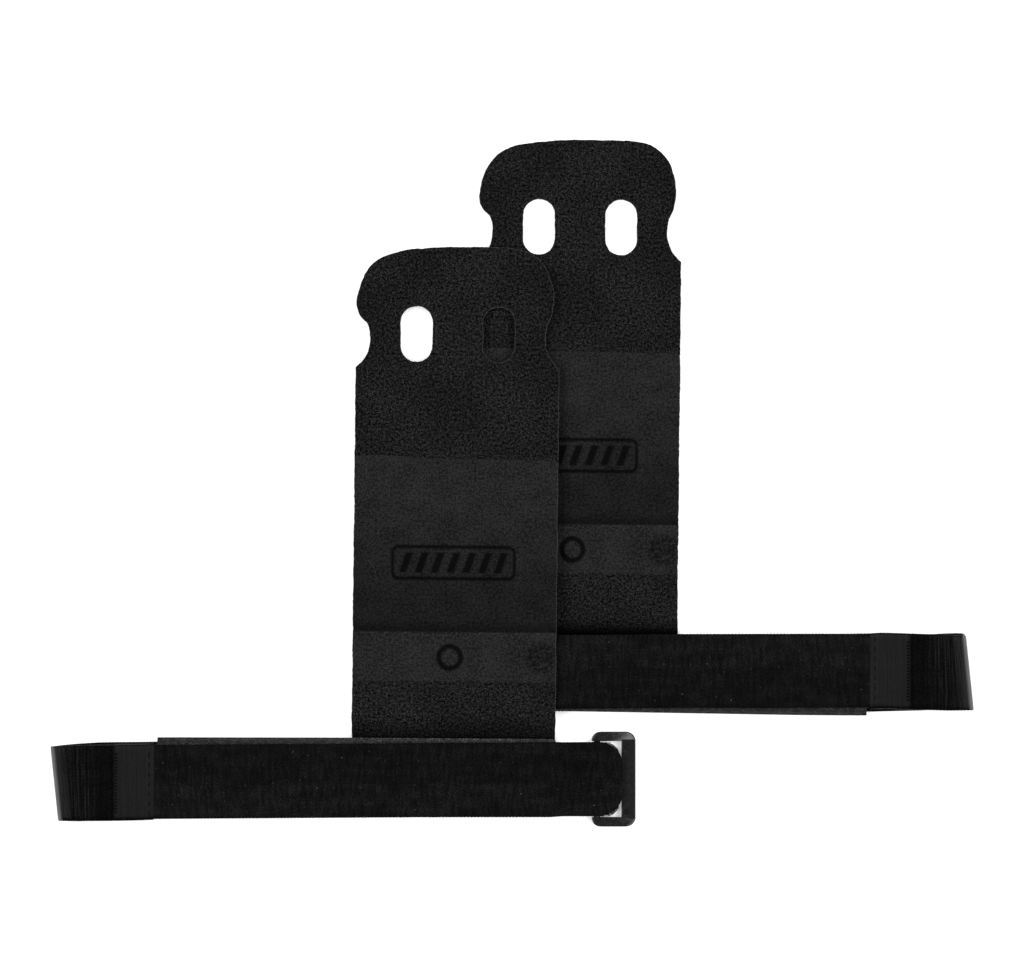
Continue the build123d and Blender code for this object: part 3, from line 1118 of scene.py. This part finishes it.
def ring_piece(name, grip, material):
    """The moulded ring: two arms, the flat grip bar between them and the round bar."""
    z0, z1 = BAR_Z - RING_T / 2, BAR_Z + RING_T / 2
    inner, outer = RING_GAP / 2, RING_L / 2
    out = Shells()
    for way in (1, -1):
        radii = (3.2, 2.9, 0.5, 0.5) if way > 0 else (0.5, 0.5, 2.9, 3.2)
        low, high = sorted((way * inner, way * outer))
        verts, faces = rounded_slab(RING_X0, RING_X1, low, high, z0, z1, radii, 0.5)
        out.add(droop(verts, 0.24 if way > 0 else 0.15), faces)
    verts, faces = rounded_slab(
        RING_GRIP_X, RING_X1 - 0.05, -inner - 0.6, inner + 0.6, z0 + 0.1, z1 - 0.55, (0.4,) * 4, 0.2
    )
    out.add(verts, faces)
    out.add(*round_bar(-inner - 1.4, inner + 1.4))
    for y in (inner - 1.8, -inner + 1.8):
        out.add(*dimple(RING_GRIP_X + 1.9, y, z1 - 0.55))
    return out.mesh(f"ring_skin_{name}", grip, material, askew(grip, "ring", BAR_X), 40)


# ---- thread


def stitch(a, b, lift, r=0.33):
    """One stitch from a to b: a thread that dips into the cloth at both ends."""
    a, b = np.array(a, float), np.array(b, float)
    along = (b - a) / np.linalg.norm(b - a)
    side = np.cross(along, (0, 0, 1))
    side /= np.linalg.norm(side)
    up = np.cross(side, along)
    rows = []
    ts = np.linspace(0, 1, 7)
    for t in ts:
        centre = a + (b - a) * t + up * (lift * math.sin(math.pi * t) - 0.12)
        size = r * (0.45 + 0.55 * math.sin(math.pi * t) ** 0.5)
        rows += [centre + side * p + up * 0.6 * q for p, q in circle(size, 8)]
    return np.array(rows), tube_faces(len(ts), 8)


def stitches(name, grip, lines, material):
    """Several stitches as one mesh."""
    out = Shells()
    for a, b, lift in lines:
        out.add(*stitch(a, b, lift))
    return out.mesh(name, grip, material)


def edge_lines(grip):
    """Rows of stitches along the pile's selvedges."""
    z = PILE_Z + SELVEDGE_T
    lines = []
    for x in np.arange(PILE_FROM_X + 1.5, PILE_TO_X - 3, 4.0):
        for side in (-1, 1):
            y = side * (STRAP_W / 2 - SELVEDGE_W / 2)
            shift = askew(grip, "pile", x)
            lines.append(((x, y + shift, z), (x + 2.9, y + shift, z), 0.16))
    return lines


def eye_lines():
    """A zigzag bar tack that closes the eye."""
    z = PILE_Z
    ys = np.arange(-10.0, 10.1, 1.0)
    return [
        ((14.8 + 0.9 * (i % 2), y + 0.3, z), (14.8 + 0.9 * ((i + 1) % 2), y + 1.3, z), 0.1)
        for i, y in enumerate(ys[:-1])
    ]


def seam_lines(grip):
    """Short slanted stitches where the hook tape starts, and a plain row by the tape's end."""
    lines = []
    for x, ys, dx, dy, proud, lift in (
        (HOOK_FROM_X + 0.4, np.arange(-9.8, 9.9, 1.05), 1.1, 0.45, 0.05, 0.1),
        (FRONT_END_X - 1.6, np.arange(-11.4, 11.0, 3.2), 0.0, 2.3, -0.05, 0.04),
    ):
        shift = askew(grip, "front", x)
        z0, z1 = (loop_height(q) + TAPE_T / 2 + proud for q in (x, x + dx))
        lines += [((x, y + shift, z0), (x + dx, y + dy + shift, z1), lift) for y in ys]
    return lines


# ---- assembly


def settle(obj, slot, body, *stands_for):
    """Hides the CAD nodes a piece stands for and hangs it on the body it rides on; slot is not used."""
    if stands_for:
        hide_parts(*stands_for)
    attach(obj, body)


def build_strap(name, looks):
    """One wrist strap with its ring and stitching."""
    grip = GRIPS[name]
    root = f"strap_{name}"
    tail = "tail_a" if name == "a" else "strap_b"
    base = base_tape(name, grip, looks["webbing"])
    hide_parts(*(f"{part}_tape_{name}" for part in ("loop", "back", "eye", "front")))
    if name == "a":
        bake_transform(base)
    else:
        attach(base, root)
    settle(hook_tape(name, grip, looks["hook_back"]), "hook_tape", tail, f"hook_tape_{name}")
    settle(hook_rows(name, grip, looks["hooks"]), "hook_tape", tail)
    settle(pile_piece(name, grip, looks["pile"]), "pile_tape", root, f"pile_tape_{name}")
    settle(pile_loops(name, grip, looks["pile"]), "pile_tape", root)
    settle(lint(name, grip, looks["lint"]), "pile_tape", root)
    settle(ring_piece(name, grip, looks["ring"]), "ring", f"ring_{name}", f"ring_{name}")
    for part, lines, thread, body in (
        ("edge", edge_lines(grip), "edge_thread", root),
        ("eye", eye_lines(), "thread", root),
        ("seam", seam_lines(grip), "thread", tail),
    ):
        obj = stitches(f"{part}_stitches_{name}", grip, lines, looks[thread])
        settle(obj, "thread", body, f"{part}_stitching_{name}")


FLOOR_Z = -0.02
WORLD_LIGHT = 0.12
SOFTBOXES = {"softbox_left": -1.1, "softbox_right": 1.1}


def build_stage():
    """Floor, lights and camera."""
    size = 2500.0
    corners = [(-size, -size), (size, -size), (size, size), (-size, size)]
    verts = [(x, y, FLOOR_Z) for x, y in corners]
    make_mesh("floor", verts, [(0, 1, 2, 3)], corners, material=floor_material())
    world = bpy.data.worlds.new("studio")
    bpy.context.scene.world = world
    world.use_nodes = True
    glow = world.node_tree.nodes["Background"].inputs
    glow[0].default_value = (1.0, 1.0, 1.0, 1.0)
    glow[1].default_value = WORLD_LIGHT
    for label, x in SOFTBOXES.items():
        light = bpy.data.lights.new(label, "AREA")
        light.shape = "RECTANGLE"
        light.size = 2.2
        light.size_y = 1.0
        light.energy = 46
        obj = link(label, light)
        obj.location = (x, 0.1, 1.75)
        obj.rotation_mode = "QUATERNION"
        obj.rotation_quaternion = Vector((-x, -0.1, -1.75)).to_track_quat("-Z", "Y")
    camera = link("camera", bpy.data.cameras.new("camera"))
    camera.data.lens = 200
    camera.data.sensor_width = 36
    camera.location = (0, -0.0005, 1.877)
    camera.data.clip_end = 20
    bpy.context.scene.camera = camera
    bpy.context.scene.view_settings.view_transform = "Standard"


def main():
    """Builds everything and says what rides on what."""
    looks = {
        "webbing": weave_material(
            "webbing_weave", 0.001, 0.23, 0.055, pitch=0.55, contrast=0.3, streak=0.5,
            relief=(0.002, 0.16, 0.001), run=0.03,
        ),
        "hook_back": weave_material(
            "hook_backing", 0.003, 0.4, 0.022, pitch=0.8, contrast=0.5, streak=0.4,
            relief=(0.006, 0.16, 0.008), run=0.16, lint=0.05,
        ),
        "hooks": weave_material(
            "hook_stubs", 0.006, 0.4, 0.1, pitch=0.5, contrast=0.3, streak=0.25,
            relief=(0.005, 0.005, 0.005), run=0.2,
        ),
        "pile": pile_material(),
        "lint": lint_material(),
        "ring": plastic_material(),
        "thread": thread_material("black_thread", 0.001, 0.004),
        "edge_thread": thread_material("edge_thread", 0.015, 0.04),
    }
    build_stage()
    suede = leather_material()
    for name in GRIPS:
        build_strap(name, looks)
    for name in GRIPS:
        palm, fingers = build_leather(name, suede)
        declare_leather(False)
        declare_leather(True)


main()
